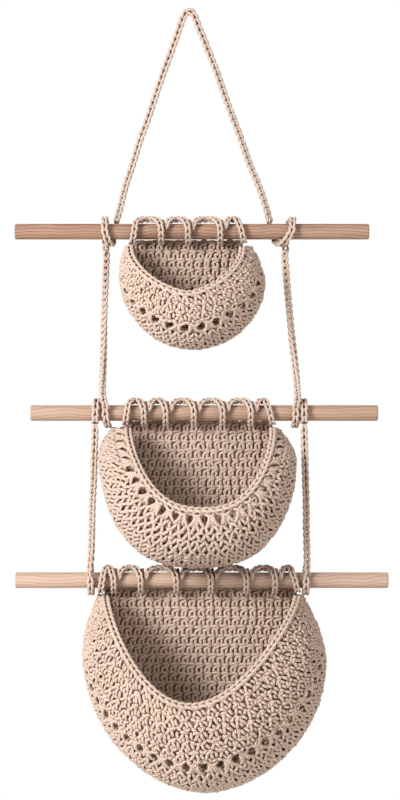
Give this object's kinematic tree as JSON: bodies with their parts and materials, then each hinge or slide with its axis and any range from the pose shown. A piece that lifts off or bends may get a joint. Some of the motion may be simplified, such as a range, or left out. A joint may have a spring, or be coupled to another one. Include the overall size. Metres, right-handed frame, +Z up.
{
  "type": "three-tier hanging fruit basket",
  "caption": "Hanging basket: crocheted half-bowl pouches laced to round wooden rails, carried one below the other on chain cords.",
  "frame": {"origin": "where the top of the hanger's loop rests on its nail", "axes": "+X to the right seen from the front, +Y to the back, towards the wall, +Z up"},
  "size_m": [0.3805, 0.1336, 0.7921],
  "materials": {
    "cotton_cord": "matt mercerised cotton, chain-stitched",
    "crocheted_cotton": "matt cotton yarn, crocheted",
    "pale_wood": "sanded, unvarnished",
    "reddish_wood": "sanded, unvarnished, reddish grain"
  },
  "bodies": {
    "hanger": {"hanger_cord": "cotton_cord", "top_left_hitch": "cotton_cord", "top_right_hitch": "cotton_cord"},
    "top_rod": {"top_rail": "reddish_wood"},
    "top_lace": {"top_lacing": "cotton_cord"},
    "top_pouch": {"top_back_panel": "crocheted_cotton", "top_front_bowl": "crocheted_cotton", "top_mouth_edging": "cotton_cord"},
    "middle_tier": {"upper_left_cord": "cotton_cord", "upper_right_cord": "cotton_cord", "middle_left_hitch": "cotton_cord", "middle_right_hitch": "cotton_cord"},
    "middle_rod": {"middle_rail": "pale_wood"},
    "middle_pouch": {"middle_lacing": "cotton_cord", "middle_back_panel": "crocheted_cotton", "middle_front_bowl": "crocheted_cotton", "middle_mouth_edging": "cotton_cord"},
    "bottom_tier": {"lower_left_cord": "cotton_cord", "lower_right_cord": "cotton_cord", "bottom_left_hitch": "cotton_cord", "bottom_right_hitch": "cotton_cord"},
    "bottom_rod": {"bottom_rail": "pale_wood"},
    "bottom_pouch": {"bottom_lacing": "cotton_cord", "bottom_back_panel": "crocheted_cotton", "bottom_front_bowl": "crocheted_cotton", "bottom_mouth_edging": "cotton_cord"}
  },
  "joints": [
    {"name": "top_rail_slide", "type": "slide", "parent": "hanger", "child": "top_rod", "axis": [1, 0, 0], "range_m": [-0.05, 0.05]},
    {"name": "top_pouch_slide", "type": "slide", "parent": "hanger", "child": "top_lace", "axis": [1, 0, 0], "range_m": [-0.01, 0.015]},
    {"name": "top_pouch_tilt", "type": "hinge", "parent": "top_lace", "child": "top_pouch", "pos_m": [0, 0, -0.221], "axis": [-1, 0, 0], "range_deg": [0, 60]},
    {"name": "middle_swing", "type": "hinge", "parent": "hanger", "child": "middle_tier", "pos_m": [0, 0, -0.221], "axis": [-1, 0, 0], "range_deg": [0, 60]},
    {"name": "middle_rail_slide", "type": "slide", "parent": "middle_tier", "child": "middle_rod", "axis": [1, 0, 0], "range_m": [-0.05, 0.05]},
    {"name": "bottom_swing", "type": "hinge", "parent": "middle_tier", "child": "bottom_tier", "pos_m": [0, 0, -0.406], "axis": [-1, 0, 0], "range_deg": [0, 25]},
    {"name": "bottom_rail_slide", "type": "slide", "parent": "bottom_tier", "child": "bottom_rod", "axis": [1, 0, 0], "range_m": [-0.05, 0.05]},
    {"name": "middle_pouch_tilt", "type": "hinge", "parent": "bottom_tier", "child": "middle_pouch", "pos_m": [0, 0, -0.406], "axis": [-1, 0, 0], "range_deg": [0, 60]},
    {"name": "bottom_pouch_tilt", "type": "hinge", "parent": "bottom_tier", "child": "bottom_pouch", "pos_m": [0, 0, -0.5765], "axis": [-1, 0, 0], "range_deg": [0, 60]}
  ]
}
